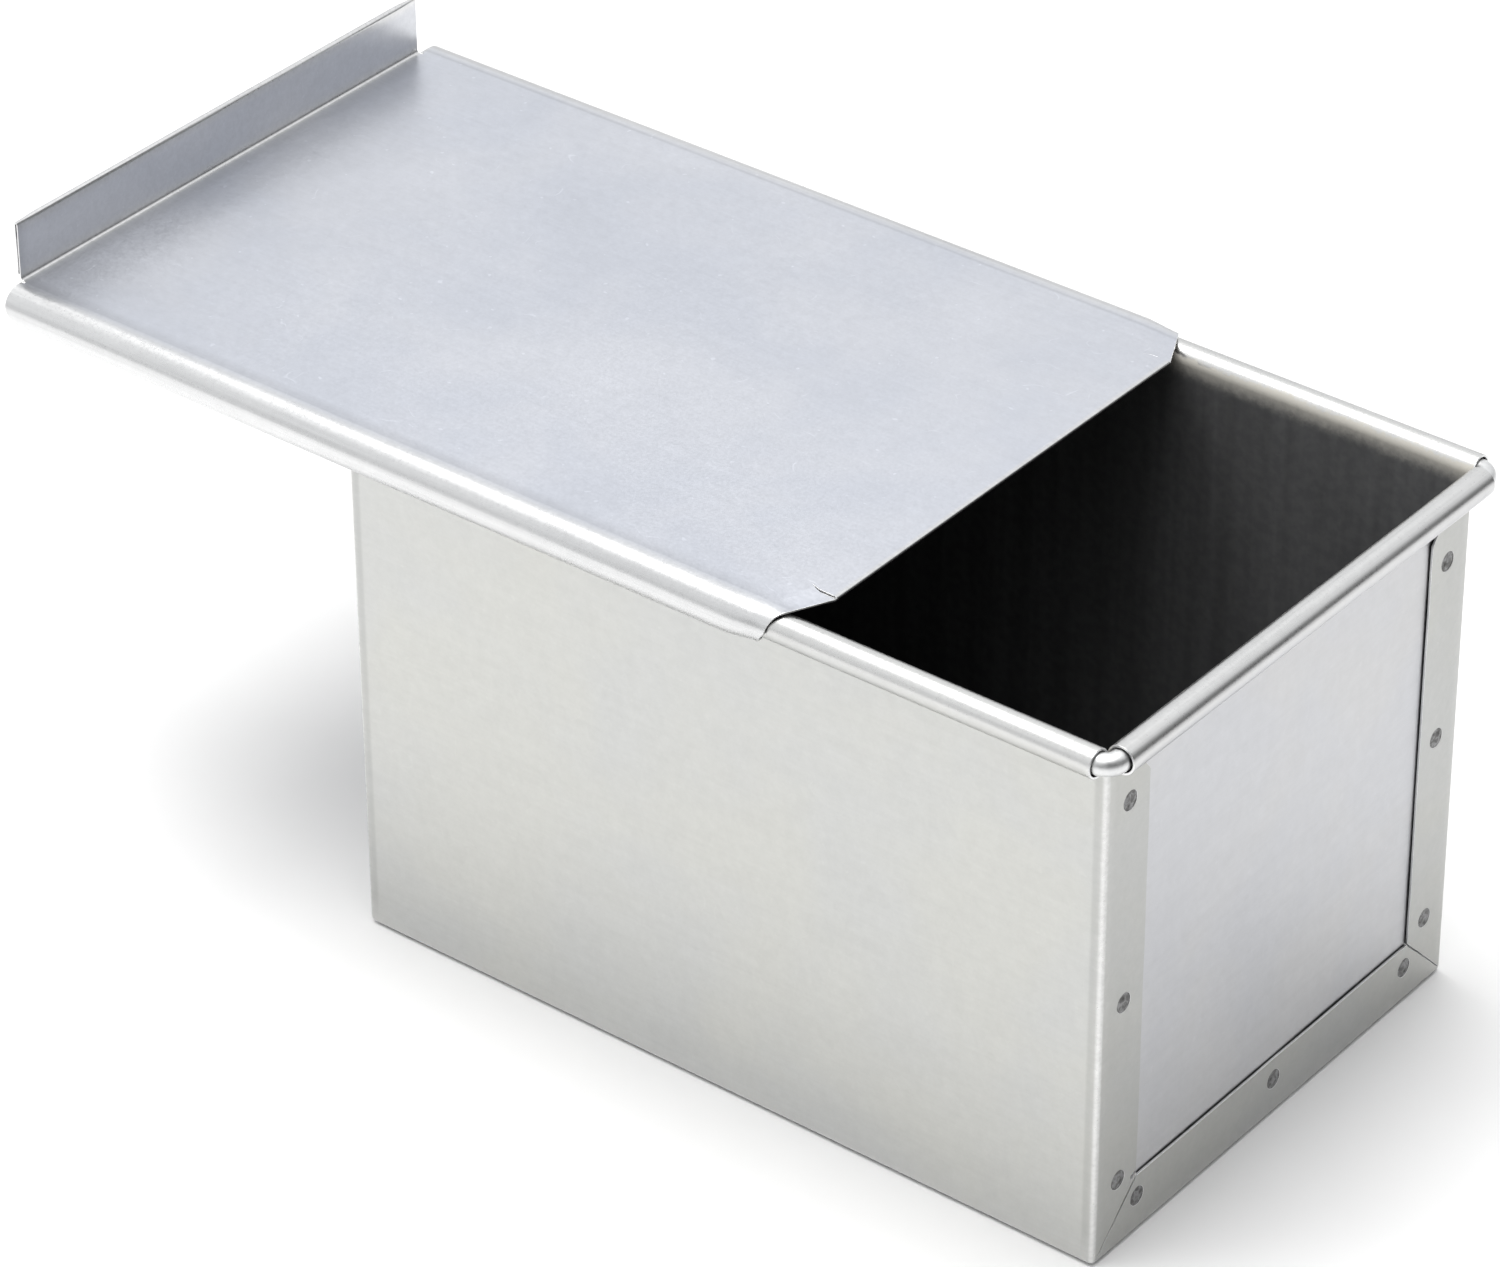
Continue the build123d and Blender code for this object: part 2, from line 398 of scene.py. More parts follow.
def flange_side_z(y, z, welds):
    """Height on a side flange: rows fan out from the mitre and up to the sloping top."""
    run = half_width - abs(y)
    low = run * FLANGE_HEIGHT / FLANGE_WIDTH + mitre_offset(run)
    block_low, block_high = welds[0] - WELD_BLOCK, welds[0] + WELD_BLOCK
    far = max(0, run - WELD_INSET - WELD_BLOCK)
    knee = block_low + 0.5 * far
    if z <= block_low:
        return mix(low, knee, z / block_low)
    if z <= block_high:
        return mix(knee, block_high, (z - block_low) / (block_high - block_low))
    top_block = welds[-1] + WELD_BLOCK
    if z <= top_block:
        return z
    top = mix(FLANGE_TOP_OUTER, FLANGE_TOP_INNER, run / FLANGE_WIDTH)
    inward = FLANGE_CORNER - (FLANGE_WIDTH - run)
    if inward > 0:
        top -= FLANGE_CORNER - math.sqrt(max(0, FLANGE_CORNER ** 2 - inward ** 2))
    return mix(top_block, top, (z - top_block) / (FLANGE_TOP_OUTER - top_block))


def flange_bottom_y(y, z):
    """Sideways place on the bottom flange: columns lean in towards the mitre."""
    limit = half_width - z * FLANGE_WIDTH / FLANGE_HEIGHT - mitre_offset(z)
    inner, outer = BOTTOM_WELD_Y - WELD_BLOCK, BOTTOM_WELD_Y + WELD_BLOCK
    knee = outer - max(0, z - BOTTOM_WELD_Z - WELD_BLOCK)
    size = abs(y)
    if size > outer:
        size = mix(knee, limit, (size - outer) / (half_width - outer))
    elif size > inner:
        size = mix(inner, knee, (size - inner) / (outer - inner))
    return math.copysign(size, y)


def in_weld_block(y, z):
    return any(max(abs(y - a), abs(z - b)) < WELD_BLOCK for a, b in all_welds)


def weld_lines(start, centres, end, spacing):
    """Lines from start to end that fit a weld block around each centre."""
    stops, last = [start], start
    for centre in centres:
        steps = max(1, round((centre - WELD_BLOCK - last) / spacing))
        last = centre + WELD_BLOCK
        stops += [(centre - WELD_BLOCK, steps), (last, 6)]
    return lines(*stops, (end, max(1, round((end - last) / spacing))))


def side_rows(welds):
    """Heights of the wall's lines, from the bottom up to the roll."""
    bend = lines(0, (BEND, 5))
    rest = weld_lines(BEND, welds, FLANGE_TOP_OUTER, 6 * MM)
    return bend + rest[1:] + [FLANGE_TOP_OUTER + ROLL_RELIEF, roll_z]


def end_columns():
    """Sideways lines of the bottom, from right to left, with the welds of the bottom flange."""
    inner = half_width - BEND
    half = weld_lines(0.0, [BOTTOM_WELD_Y], inner, 7 * MM)
    middle = lines(0, (WELD_BLOCK, 3))
    half = middle + [h for h in half if h > WELD_BLOCK + 1 * MM]
    half += lines(inner, (half_width, 5))[1:]
    return [-h for h in reversed(half)] + half[1:]


def long_columns():
    """Lines along the pan and around its end bends."""
    half = lines(0, (half_length - 20 * MM, 10), (bend_start - 3 * MM, 4), (bend_start, 5),
                 (half_length, 5))
    return [-h for h in reversed(half)] + half[1:]


def roll_stops():
    """Angles round a roll, from the wall."""
    return lines(0, (ROLL_SWEEP, 34))


def upright(x, side, z):
    """The wall under the roll, which runs on past the end bend."""
    if abs(x) <= bend_start + NEAR:
        return box_point(x, side * half_width, z)
    key = (x, side * half_width, z + 1)
    return key, (x, side * half_width, z), (x, side * (half_width - SHEET), z)


def side_roll(x, side, degrees):
    """The rolled edge of a long side, from the wall over its top and round."""
    if degrees == 0:
        return upright(x, side, roll_z)
    inner = around((side_roll_y, roll_z), ROLL_RADIUS - SHEET, 180 - degrees)
    outer = around((side_roll_y, roll_z), ROLL_RADIUS, 180 - degrees)
    key = (x, side * (1 + degrees), 1)
    return key, (x, side * inner[0], inner[1]), (x, side * outer[0], outer[1])


def side_flange(end, side, y, z, welds):
    """The flange folded in from a long side over an end."""
    key, front, back = box_point(end * half_length, side * y, flange_side_z(y, z, welds))
    if z == 0 and y < half_width - NEAR:
        key = (key[0], key[1], key[2] + 1)
    return key, front, back


def add_side(sheet, side, welds):
    """One long side: its wall, its rolled edge and the flanges at its two ends."""
    columns, rows = long_columns(), side_rows(welds)
    sheet.grid(columns, rows, lambda x, z: box_point(x, side * half_width, z),
               lambda x, z: abs(x) > bend_start and z > FLANGE_TOP_OUTER)
    for end in (1, -1):
        sheet.grid([end * bend_start, end * side_roll_end], rows[-2:],
                   lambda x, z: upright(x, side, z))
    inside = [x for x in columns if abs(x) <= bend_start + NEAR]
    sheet.grid([-side_roll_end] + inside + [side_roll_end], roll_stops(),
               lambda x, degrees: side_roll(x, side, degrees))
    across = weld_lines(BEND, [WELD_INSET], FLANGE_WIDTH, 1.6 * MM)
    flange = lines(half_width, (half_width - BEND, 5)) + [half_width - a for a in across[1:]]
    flange_rows = [r for r in rows if r <= FLANGE_TOP_OUTER + NEAR]
    for end in (1, -1):
        sheet.grid(flange, flange_rows, lambda y, z: side_flange(end, side, y, z, welds),
                   lambda y, z: in_weld_block(side * y, z))
        for z in welds:
            sheet.hole((half_width - WELD_INSET, z), WELD_BLOCK, 6, WELD_RINGS,
                       lambda y, h: side_flange(end, side, y, h, welds))


def add_bottom_flange(sheet, end):
    """The flange folded up from the bottom over an end."""
    def upturned(y, z):
        return box_point(end * half_length, flange_bottom_y(y, z), z)

    rows = lines(0, (BEND, 5), (BOTTOM_WELD_Z - WELD_BLOCK, 2), (BOTTOM_WELD_Z + WELD_BLOCK, 6),
                 (FLANGE_HEIGHT, 2))
    sheet.grid(end_columns(), rows, upturned, in_weld_block)
    for y, z in weld_places()["bottom"]:
        sheet.hole((y, z), WELD_BLOCK, 6, WELD_RINGS, upturned)


def body_wrapper(materials):
    """Bottom, long sides, rolled edges and end flanges in one bent sheet."""
    sheet = Sheet()
    sheet.grid(long_columns(), end_columns(), lambda x, y: box_point(x, y, 0))
    for side, welds in ((1, LEFT_WELDS), (-1, RIGHT_WELDS)):
        add_side(sheet, side, welds)
    for end in (1, -1):
        add_bottom_flange(sheet, end)
    return sheet.build("body_wrapper_sheet", "pan", ["body_wrapper"], "pan_sheet", materials,
                       coat_depth=pan_coat_depth, rub=pan_rub, heat=weld_heat, dull=flange_dull)


def pan_coat_depth(point, face):
    """Millimetres below the middle of the soft edge of the inside coating; negative where bare."""
    x, y, z = point
    if face != 1:
        return BARE
    inside = min(half_width - abs(y), half_length - abs(x)) / MM
    return max(BARE, min(20, (pan_height - COAT_TOP - z) / MM, inside * 4 if inside < 0 else 20))


def pan_rub(point, face):
    """1 on bends and rolls, 0 on the flat sheet: wear, and a painted highlight that makes them lighter.
    """
    x, y, z = point
    near = sorted((half_length - abs(x), half_width - abs(y), z))
    bend = 1 - ramp(near[1], BEND * 0.5, BEND * 1.2)
    roll = ramp(z, roll_z - 1 * MM, roll_z + 1 * MM)
    return max(bend, roll)


def weld_heat(point, face):
    """1 at the rim of a spot weld, fading to 0 around it."""
    x, y, z = point
    if abs(x) < half_length - 2 * MM:
        return 0.0
    return 1 - ramp(weld_distance(y, z), WELD_RADIUS, WELD_RADIUS + 1.6 * MM)


def flange_dull(point, face):
    """1 on the outside of the end flanges, which makes them darker, and in a band of painted shade on the
    side wall just before its bend.
    """
    x, y, z = point
    if face == 1 or z > FLANGE_TOP_OUTER + ROLL_RELIEF:
        return 0.0
    flange = ramp(abs(x), half_length - 0.4 * MM, half_length - 0.1 * MM)
    # Painted shade: a darker band on the side wall just before its bend at each end.
    painted_shade_band = ramp(abs(x), bend_start - 1.9 * MM, bend_start - 1.1 * MM)
    painted_shade_band *= 1 - ramp(abs(x), bend_start + 0.2 * MM, bend_start + 0.7 * MM)
    return max(flange, 0.8 * painted_shade_band * ramp(z, 1 * MM, 3 * MM))


def panel_dull(point, face):
    """1 in a band of painted shade along the end roll, on its upper outer side."""
    x, y, z = point
    if z < roll_z:
        return 0.0
    angle = math.degrees(math.atan2(z - roll_z, abs(x) - end_roll_x))
    return 1.5 * math.exp(-((angle - 34) / 13) ** 2)


def panel_columns(half):
    """Upright lines of an end panel, denser around the welds, from right to left."""
    side = weld_lines(0, [half_width - WELD_INSET], half, 7 * MM)
    bottom = weld_lines(0, [BOTTOM_WELD_Y], half, 7 * MM)
    wanted = sorted({round(v, 7) for v in side + bottom + lines(0, (WELD_BLOCK, 3))})
    kept = wanted[:1]
    for v in wanted[1:]:
        if v - kept[-1] > 0.25 * MM:
            kept.append(v)
    return [-v for v in reversed(kept)] + kept[1:]


def end_panel(end, name, materials):
    """Flat end of the pan, its top edge rolled outwards around the wire."""
    sheet = Sheet()
    half = half_width - PANEL_INSET
    columns = panel_columns(half)
    rows = lines(PANEL_INSET, (roll_z, 40))

    def flat(y, z):
        spread = mix(1, end_roll_half / half, ramp(z, roll_z - 4 * MM, roll_z))
        lean = PANEL_LEAN * ramp(z, FLANGE_TOP_OUTER - ROLL_RELIEF, roll_z)
        front = Vector((end * (panel_face + lean), y * spread, z)) + wall_bulge((end * panel_face, y, z))
        return (y, z, 0), front, front - Vector((end * SHEET, 0, 0))

    def rolled(y, degrees):
        if degrees == 0:
            return flat(y, roll_z)
        inner = around((end_roll_x, roll_z), ROLL_RADIUS - SHEET, 180 - degrees)
        outer = around((end_roll_x, roll_z), ROLL_RADIUS, 180 - degrees)
        wide = y * end_roll_half / half
        key = (y, degrees, 1)
        return key, (end * inner[0], wide, inner[1]), (end * outer[0], wide, outer[1])

    sheet.grid(columns, rows, flat)
    sheet.grid(columns, roll_stops(), rolled)
    return sheet.build(name + "_sheet", "pan", [name], "pan_sheet", materials,
                       coat_depth=pan_coat_depth, rub=pan_rub, dull=panel_dull)


def rim_wire(material):
    """Steel wire in one loop, with a bend at each corner of the rim."""
    path = []
    for k, (sx, sy) in enumerate(((1, 1), (-1, 1), (-1, -1), (1, -1))):
        reach = WIRE_BEND + WIRE_INSET
        centre = (sx * (end_roll_x - reach), sy * (side_roll_y - reach))
        for step in range(13):
            a = math.radians(90 * k + 7.5 * step)
            path.append((centre[0] + WIRE_BEND * math.cos(a), centre[1] + WIRE_BEND * math.sin(a),
                         math.cos(a), math.sin(a)))
    ring = 28
    points, normals = [], []
    for x, y, ox, oy in path:
        for s in range(ring):
            a = 2 * math.pi * s / ring
            out = Vector((ox * math.cos(a), oy * math.cos(a), math.sin(a)))
            points.append(Vector((x, y, roll_z)) + out * WIRE_RADIUS)
            normals.append(out)
    faces, shading = [], []
    for k in range(len(path)):
        n = (k + 1) % len(path)
        for s in range(ring):
            t = (s + 1) % ring
            face = (k * ring + s, n * ring + s, n * ring + t, k * ring + t)
            faces.append(face)
            shading += [normals[v] for v in face]
    return mesh_piece("rim_wire_loop", points, faces, shading, [0] * len(faces), [material], "pan",
                      ["rim_wire"])


def weld_nick(x, y, seed):
    """1 at the small burnt nick in a spot weld's face, fading around it."""
    nick_x, nick_y = around((0, 0), 1.1 * MM, 137 * seed)
    return math.exp(-((x - nick_x) ** 2 + (y - nick_y) ** 2) / (0.35 * MM) ** 2)


def weld_face(radius, seed, angle):
    """Height of a spot weld's face: a lip, a groove inside it and an uneven middle."""
    share = radius / WELD_RADIUS
    groove = -0.07 * MM * math.exp(-((share - 0.86) / 0.09) ** 2)
    dome = 0.03 * MM * (1 - ramp(share, 0.2, 0.75))
    x, y = radius * math.cos(angle), radius * math.sin(angle)
    rough = 0.02 * MM * ripple(x, y, seed, 0.0007) * (1 - ramp(share, 0.8, 1.0))
    return groove + dome + rough - 0.09 * MM * weld_nick(x, y, seed)


def weld_points(end, y, z, seed):
    """Points of one weld, each face from its middle outwards, and how burnt each point is."""
    points, burns = [], []
    for x_face, sign in ((half_length - WELD_DIMPLE, 1), (panel_inside + WELD_DIMPLE, -1)):
        points.append((end * (x_face + sign * weld_face(0, seed, 0)), y, z))
        burns.append(weld_nick(0, 0, seed) ** 0.4)
        for share in WELD_SHARES:
            for s in range(WELD_SPOKES):
                a = 2 * math.pi * s / WELD_SPOKES
                r = share * WELD_RADIUS
                across, upwards = r * math.cos(a), r * math.sin(a)
                x = end * (x_face + sign * weld_face(r, seed, a))
                points.append((x, y + across, z + upwards))
                burns.append(weld_nick(across, upwards, seed) ** 0.4)
    return points, burns


def weld_faces(first, end):
    """Faces of one weld whose points start at first: two dished faces and the rim between."""
    faces = []
    block = 1 + len(WELD_SHARES) * WELD_SPOKES

    def add(face, flip):
        faces.append(tuple(reversed(face)) if flip else face)

    for face_number in (0, 1):
        start = first + face_number * block
        flip = (face_number == 1) != (end < 0)
        for s in range(WELD_SPOKES):
            t = (s + 1) % WELD_SPOKES
            add((start, start + 1 + s, start + 1 + t), flip)
            for k in range(len(WELD_SHARES) - 1):
                a, b = start + 1 + k * WELD_SPOKES, start + 1 + (k + 1) * WELD_SPOKES
                add((a + s, b + s, b + t, a + t), flip)
    outer = first + block - WELD_SPOKES
    inner = outer + block
    for s in range(WELD_SPOKES):
        t = (s + 1) % WELD_SPOKES
        add((outer + s, inner + s, inner + t, outer + t), end < 0)
    return faces


def weld_row(end, end_name, row_name, seed, material):
    """Three spot welds of one row: plugs of fused metal with a dished face on each side."""
    points, faces, burns = [], [], []
    for number, (y, z) in enumerate(weld_places()[row_name]):
        faces += weld_faces(len(points), end)
        weld, weld_burns = weld_points(end, y, z, seed + number)
        points += weld
        burns += weld_burns
    node = f"{end_name}_{row_name}_welds"
    piece = mesh_piece(node + "_marks", points, faces, None, [0] * len(faces), [material], "pan",
                       [node])
    point_values(piece, "burn", burns)
    return piece


# Shapes: lid

def lid_wave(x, y):
    """How far the lid's flat sheet is out of true."""
    border = ramp(curl_y - abs(y), 0, 22 * MM) * ramp(x - lid_rear, 1 * MM, 25 * MM)
    border *= mix(0.25, 1, ramp(lid_front - x, 2 * MM, 25 * MM))
    return border * MM * (0.16 * ripple(x, y, 21, 0.075) + 0.03 * ripple(x, y, 22, 0.03))


def curl_point(degrees, pinch=0.0):
    """(y, z) of the curl's front and back face at an angle, 90 at its top."""
    centre = (curl_y, curl_z)
    return (around(centre, CURL_RADIUS - pinch, degrees),
            around(centre, CURL_RADIUS - LID_SHEET - pinch, degrees))


def front_edge(y, z):
    """Where the lid ends at the front, beside the hem: a slope that runs on down the curl."""
    slope = lid_front - CORNER_SLOPE * (y - HEM_HALF)
    drop = lid_top - LID_SHEET - z
    if drop <= 0:
        return slope
    start = lid_front - CORNER_SLOPE * (curl_y - HEM_HALF)
    return min(slope, start - CURL_SLOPE * drop)


def rear_edge(z):
    """Where the curl ends at the rear, rounded towards its lower edge."""
    centre = curl_z - CURL_RADIUS + CURL_REAR
    if z >= centre:
        return lid_rear
    return lid_rear + CURL_REAR - math.sqrt(max(0, CURL_REAR ** 2 - (centre - z) ** 2))


def slit_y(x):
    """The slit beside the hem: straight from the front edge, curving inwards to its blind end."""
    return HEM_HALF - SLIT_BOW * ramp(SLIT_CURVE - x, 0, 2 * (SLIT_CURVE - SLIT_START)) * (
        1 - ramp(SLIT_START - x, 0, 9 * MM))


def lid_columns():
    """Lines across the flat top, from the upstand to the front fold."""
    return lines(tab_start, (notch_x, 1), (tab_start + KNEE_LENGTH, 5), (FRONT_KNEE, 24),
                 (SLIT_START, 3), (fold_start, 8))


def lid_flat(x, y, outside):
    """The flat top. outside is 1 beyond the slits and -1 between them."""
    side = math.copysign(1, y) if y else 1
    size = abs(y)
    at_slit = abs(size - HEM_HALF) < NEAR
    px, py, dip = x, size, 0.0
    if at_slit:
        py = slit_y(x) + outside * SLIT_GAP * ramp(x - SLIT_START, 0, 3 * MM)
    if outside > 0:
        reach = front_edge(max(size, HEM_HALF), lid_top)
        knee = mix(SLIT_START, FRONT_KNEE, ramp(size, HEM_HALF, HEM_HALF + 3 * MM))
        if x > knee:
            px = knee + (x - knee) * (reach - knee) / (fold_start - knee)
        dip = LID_SAG * ramp(px, reach - SAG_LENGTH, reach)
    z = lid_top + lid_wave(px, side * py) - dip
    apart = outside if at_slit and x > SLIT_START + NEAR else 0
    return (x, side * size, apart), (px, side * py, z), (px, side * py, z - LID_SHEET)


def lid_ear(x, y):
    """The flat corner beside the upstand."""
    if x > lid_rear + NEAR:
        return lid_flat(tab_start, y, 1)
    return (x, y, 0), (x, y, lid_top), (x, y, lid_top - LID_SHEET)


def lid_curl(x, side, degrees):
    """The curl down a long side, from the flat top at 90 degrees."""
    if degrees == 90:
        return lid_flat(x, side * curl_y, 1) if x > lid_rear + NEAR else lid_ear(x, side * curl_y)
    outer, inner = curl_point(degrees)
    front_limit, rear_limit = front_edge(*outer), rear_edge(outer[1])
    rear_knee = lid_rear + KNEE_LENGTH
    px = x
    if x > FRONT_KNEE:
        px = mix(FRONT_KNEE, front_limit, (x - FRONT_KNEE) / (fold_start - FRONT_KNEE))
    elif x < rear_knee:
        px = mix(rear_limit, rear_knee, (x - lid_rear) / (rear_knee - lid_rear))
    pinch = mix(LID_SAG, CURL_PINCH, ramp(90 - degrees, 0, 60))
    pinch *= ramp(px, front_limit - SAG_LENGTH, front_limit)
    outer, inner = curl_point(degrees, pinch)
    key = (x, side * (2 + degrees), 3)
    return key, (px, side * outer[0], outer[1]), (px, side * inner[0], inner[1])


def lid_hem(turn, y):
    """The front hem: turn is 0 to 180 degrees around the fold, then on to 280 under the lid."""
    if turn <= 0:
        return lid_flat(fold_start, y, -1)
    centre = (fold_start, lid_top - fold + lid_wave(fold_start, y))
    if turn <= 180:
        front, back = around(centre, fold, 90 - turn), around(centre, HEM_GAP / 2, 90 - turn)
    else:
        x = mix(fold_start, lid_front - HEM_DEPTH, (turn - 180) / 100)
        front, back = (x, centre[1] - fold), (x, centre[1] - HEM_GAP / 2)
    return (turn, y, 5), (front[0], y, front[1]), (back[0], y, back[1])


def lid_upstand(run, y):
    """run is 0 to 1 around the bend, to 2 up the front, to 3 over the loop, to 4 down again."""
    if run <= 0:
        return lid_flat(tab_start, y, 1 if abs(y) >= HEM_HALF - NEAR else -1)
    foot = tab_face - 2 * LID_SHEET - TAB_FOOT
    bend_centre = (tab_start, lid_top + TAB_BEND)
    lean = TAB_LEAN * ripple(y, run, 31, 0.05)
    from_end = min(y - TAB_RIGHT, TAB_LEFT - y)
    loop = LID_SHEET + mix(TAB_END_GAP, TAB_GAP, ramp(from_end, 0.3 * MM, 6 * MM)) / 2
    loop_centre = (tab_face - loop, tab_top - loop)
    if run <= 1:
        front = around(bend_centre, TAB_BEND, 270 - 90 * run)
        back = around(bend_centre, TAB_BEND + LID_SHEET, 270 - 90 * run)
    elif run <= 2:
        z = mix(bend_centre[1], loop_centre[1], run - 1)
        front, back = (tab_face, z), (tab_face - LID_SHEET, z)
    elif run <= 3:
        front = around(loop_centre, loop, 180 * (run - 2))
        back = around(loop_centre, loop - LID_SHEET, 180 * (run - 2))
    else:
        z = mix(loop_centre[1], bend_centre[1] + 0.2 * MM, run - 3)
        x = mix(loop_centre[0] - loop, foot, ramp(run, 3, 4.15))
        front, back = (x, z), (x + LID_SHEET, z)
    shift = max(0, lean) * (front[1] - lid_top) / (tab_top - lid_top)
    return (run, y, 7), (front[0] + shift, y, front[1]), (back[0] + shift, y, back[1])


def add_lid_side(sheet, side):
    """The lid beyond one slit: flat top, the corner beside the upstand, and the curl."""
    xs = lid_columns()
    tab_edge = TAB_LEFT if side > 0 else -TAB_RIGHT
    ear_ys = lines(tab_edge + TAB_NOTCH, (curl_y, 4))
    sheet.grid(xs, lines(HEM_HALF, (tab_edge, 3)) + ear_ys, lambda x, y: lid_flat(x, side * y, 1),
               lambda x, y: x < notch_x and tab_edge < y < tab_edge + TAB_NOTCH)
    sheet.grid([lid_rear, tab_start], ear_ys, lambda x, y: lid_ear(x, side * y))
    sheet.grid([lid_rear] + xs, lines(90, (90 - CURL_SWEEP, 30)),
               lambda x, degrees: lid_curl(x, side, degrees))


def lid(materials):
    """One sheet: flat top, a curl along both sides, front hem between slits, rear upstand."""
    sheet = Sheet()
    hem_ys = lines(-HEM_HALF, (HEM_HALF, 30))
    sheet.grid(lid_columns(), hem_ys, lambda x, y: lid_flat(x, y, -1))
    for side in (1, -1):
        add_lid_side(sheet, side)
    sheet.grid(lines(0, (180, 10), (280, 3)), hem_ys, lid_hem)
    tab_ys = lines(TAB_RIGHT, (-HEM_HALF, 3)) + hem_ys[1:] + lines(HEM_HALF, (TAB_LEFT, 3))[1:]
    sheet.grid(lines(0, (1, 6), (2, 6), (3, 10), (4, 5)), tab_ys, lid_upstand)
    return sheet.build("lid_sheet", "lid", ["lid"], "lid_sheet", materials,
                       coat_depth=lid_coat_depth, rub=lid_rub, dull=lid_dull)


def lid_coat_depth(point, face):
    """Millimetres in from the middle of the soft edge of the coating under the lid."""
    x, y, z = point
    if face != 1 or z > lid_top or z < lid_top - 0.8 * MM:
        return BARE
    return max(BARE, min(20, (curl_y - 4 * MM - abs(y)) / MM, (lid_front - x) / MM,
                        (x - lid_rear) / MM - 4))


def lid_dull(point, face):
    """1 in a line beside each curl: painted shade of a faint crease there."""
    x, y, z = point
    return 0.9 * math.exp(-((curl_y - 1.35 * MM - abs(y)) / (0.3 * MM)) ** 2) if face == 0 else 0.0


def lid_rub(point, face):
    """1 on the curls, the upstand's bend and its top, less on the upstand, 0 on the flat sheet: wear, and
    a painted highlight.
    """
    x, y, z = point
    curl = ramp(abs(y), curl_y - 2 * MM, curl_y + 1.5 * MM)
    top = ramp(z, tab_top - 2.2 * MM, tab_top - 1.0 * MM)
    foot = (1 - ramp(abs(z - lid_top), 0.8 * MM, 1.8 * MM)) * (1 - ramp(x - tab_face, 0.8 * MM, 1.6 * MM))
    hem = ramp(x, lid_front - 1.0 * MM, lid_front - 0.3 * MM)
    upstand = 0.4 * ramp(z, lid_top + 0.5 * MM, lid_top + 2 * MM)
    return max(curl, top, foot, hem, upstand)


# Materials: a cool and a warm colour for each sheet, which blend in slow patches

PAN_COLOURS = ((0.523, 0.528, 0.519, 1), (0.530, 0.532, 0.510, 1))
PANEL_COLOURS = ((0.502, 0.508, 0.528, 1), (0.513, 0.514, 0.522, 1))
# The lid's colours are bluer than the pan's: the blue is a painted reflection of a bluish surround above
# the lid.
LID_COLOURS_WITH_PAINTED_BLUE = ((0.566, 0.587, 0.642, 1), (0.578, 0.593, 0.637, 1))
# Lighter tint of worn bends and rolls, which also serves as a painted highlight.
WORN_AND_HIGHLIGHT_TINT = (0.60, 0.60, 0.595, 1)
OVERSPRAY = (0.58, 0.56, 0.51, 1)
COATING_COLOURS = ((0.120, 0.121, 0.125, 1), (0.138, 0.139, 0.141, 1))
GRAIN_ALONG_X = (14, 1100, 1100)
GRAIN_ALONG_Y = (1100, 14, 1100)
PAN_WEAR = 0.03
LID_WEAR = 0.13
COAT_FADE = (-3.4, 3.8)


class Nodes:
    """Short names for making nodes in a material's or the sky's tree."""

    def __init__(self, tree, place):
        self.tree = tree
        self.place = self.make("ShaderNodeTexCoord").outputs[place]

    def make(self, kind, inputs=(), **settings):
        """A node with its settings, and each input linked or set to a number."""
        node = self.tree.nodes.new(kind)
        for key, value in settings.items():
            setattr(node, key, value)
        for socket, value in dict(inputs).items():
            self.link(value, node.inputs[socket])
        return node

    def link(self, value, socket):
        if isinstance(value, (int, float, tuple)):
            socket.default_value = value
        else:
            self.tree.links.new(value, socket)

    def math(self, operation, a, b=0.0, c=0.0):
        return self.make("ShaderNodeMath", {0: a, 1: b, 2: c}, operation=operation).outputs[0]

    def times(self, a, b):
        return self.math("MULTIPLY", a, b)

    def plus(self, a, b):
        return self.math("ADD", a, b)

    def minus(self, a, b):
        return self.math("SUBTRACT", a, b)

    def stretched(self, x, y, z):
        return self.make("ShaderNodeMapping", {"Vector": self.place, "Scale": (x, y, z)}).outputs[0]

    def noise(self, scale, detail=2.0, rough=0.5, place=None, warp=0.0):
        sockets = {"Vector": place or self.place, "Scale": scale, "Detail": detail,
                   "Roughness": rough, "Distortion": warp}
        return self.make("ShaderNodeTexNoise", sockets).outputs["Fac"]

    def flakes(self, scale):
        node = self.make("ShaderNodeTexVoronoi", {"Vector": self.place, "Scale": scale})
        return self.make("ShaderNodeSeparateColor", {0: node.outputs["Color"]}).outputs[0]

    def ramp(self, value, low, high, to_low=0.0, to_high=1.0):
        """to_low at low and to_high at high, smooth in between and level beyond."""
        sockets = {"Value": value, "From Min": low, "From Max": high, "To Min": to_low,
                   "To Max": to_high}
        node = self.make("ShaderNodeMapRange", sockets, interpolation_type="SMOOTHSTEP")
        return node.outputs["Result"]

    def spread(self, value, low, high):
        """Noise around a half, mapped to run from low to high."""
        sockets = {"Value": value, "From Min": 0.3, "From Max": 0.7, "To Min": low, "To Max": high}
        return self.make("ShaderNodeMapRange", sockets, clamp=False).outputs["Result"]

    def attribute(self, name):
        return self.make("ShaderNodeAttribute", attribute_name=name).outputs["Fac"]

    def mix(self, share, a, b):
        return self.make("ShaderNodeMix", {0: share, 6: a, 7: b}, data_type="RGBA").outputs[2]

    def scaled(self, colour, factor):
        sockets = {0: colour, "Scale": factor}
        return self.make("ShaderNodeVectorMath", sockets, operation="SCALE").outputs[0]

    def bump(self, height, strength, distance):
        sockets = {"Height": height, "Strength": strength, "Distance": distance}
        return self.make("ShaderNodeBump", sockets).outputs["Normal"]


class Material(Nodes):
    """A new material's nodes around its Principled shader."""

    def __init__(self, name):
        self.material = bpy.data.materials.new(name)
        self.material.use_nodes = True
        super().__init__(self.material.node_tree, "Object")
        self.shader = self.tree.nodes["Principled BSDF"]

    def finish(self, **sockets):
        for name, value in sockets.items():
            self.link(value, self.shader.inputs[name.replace("_", " ")])
        return self.material


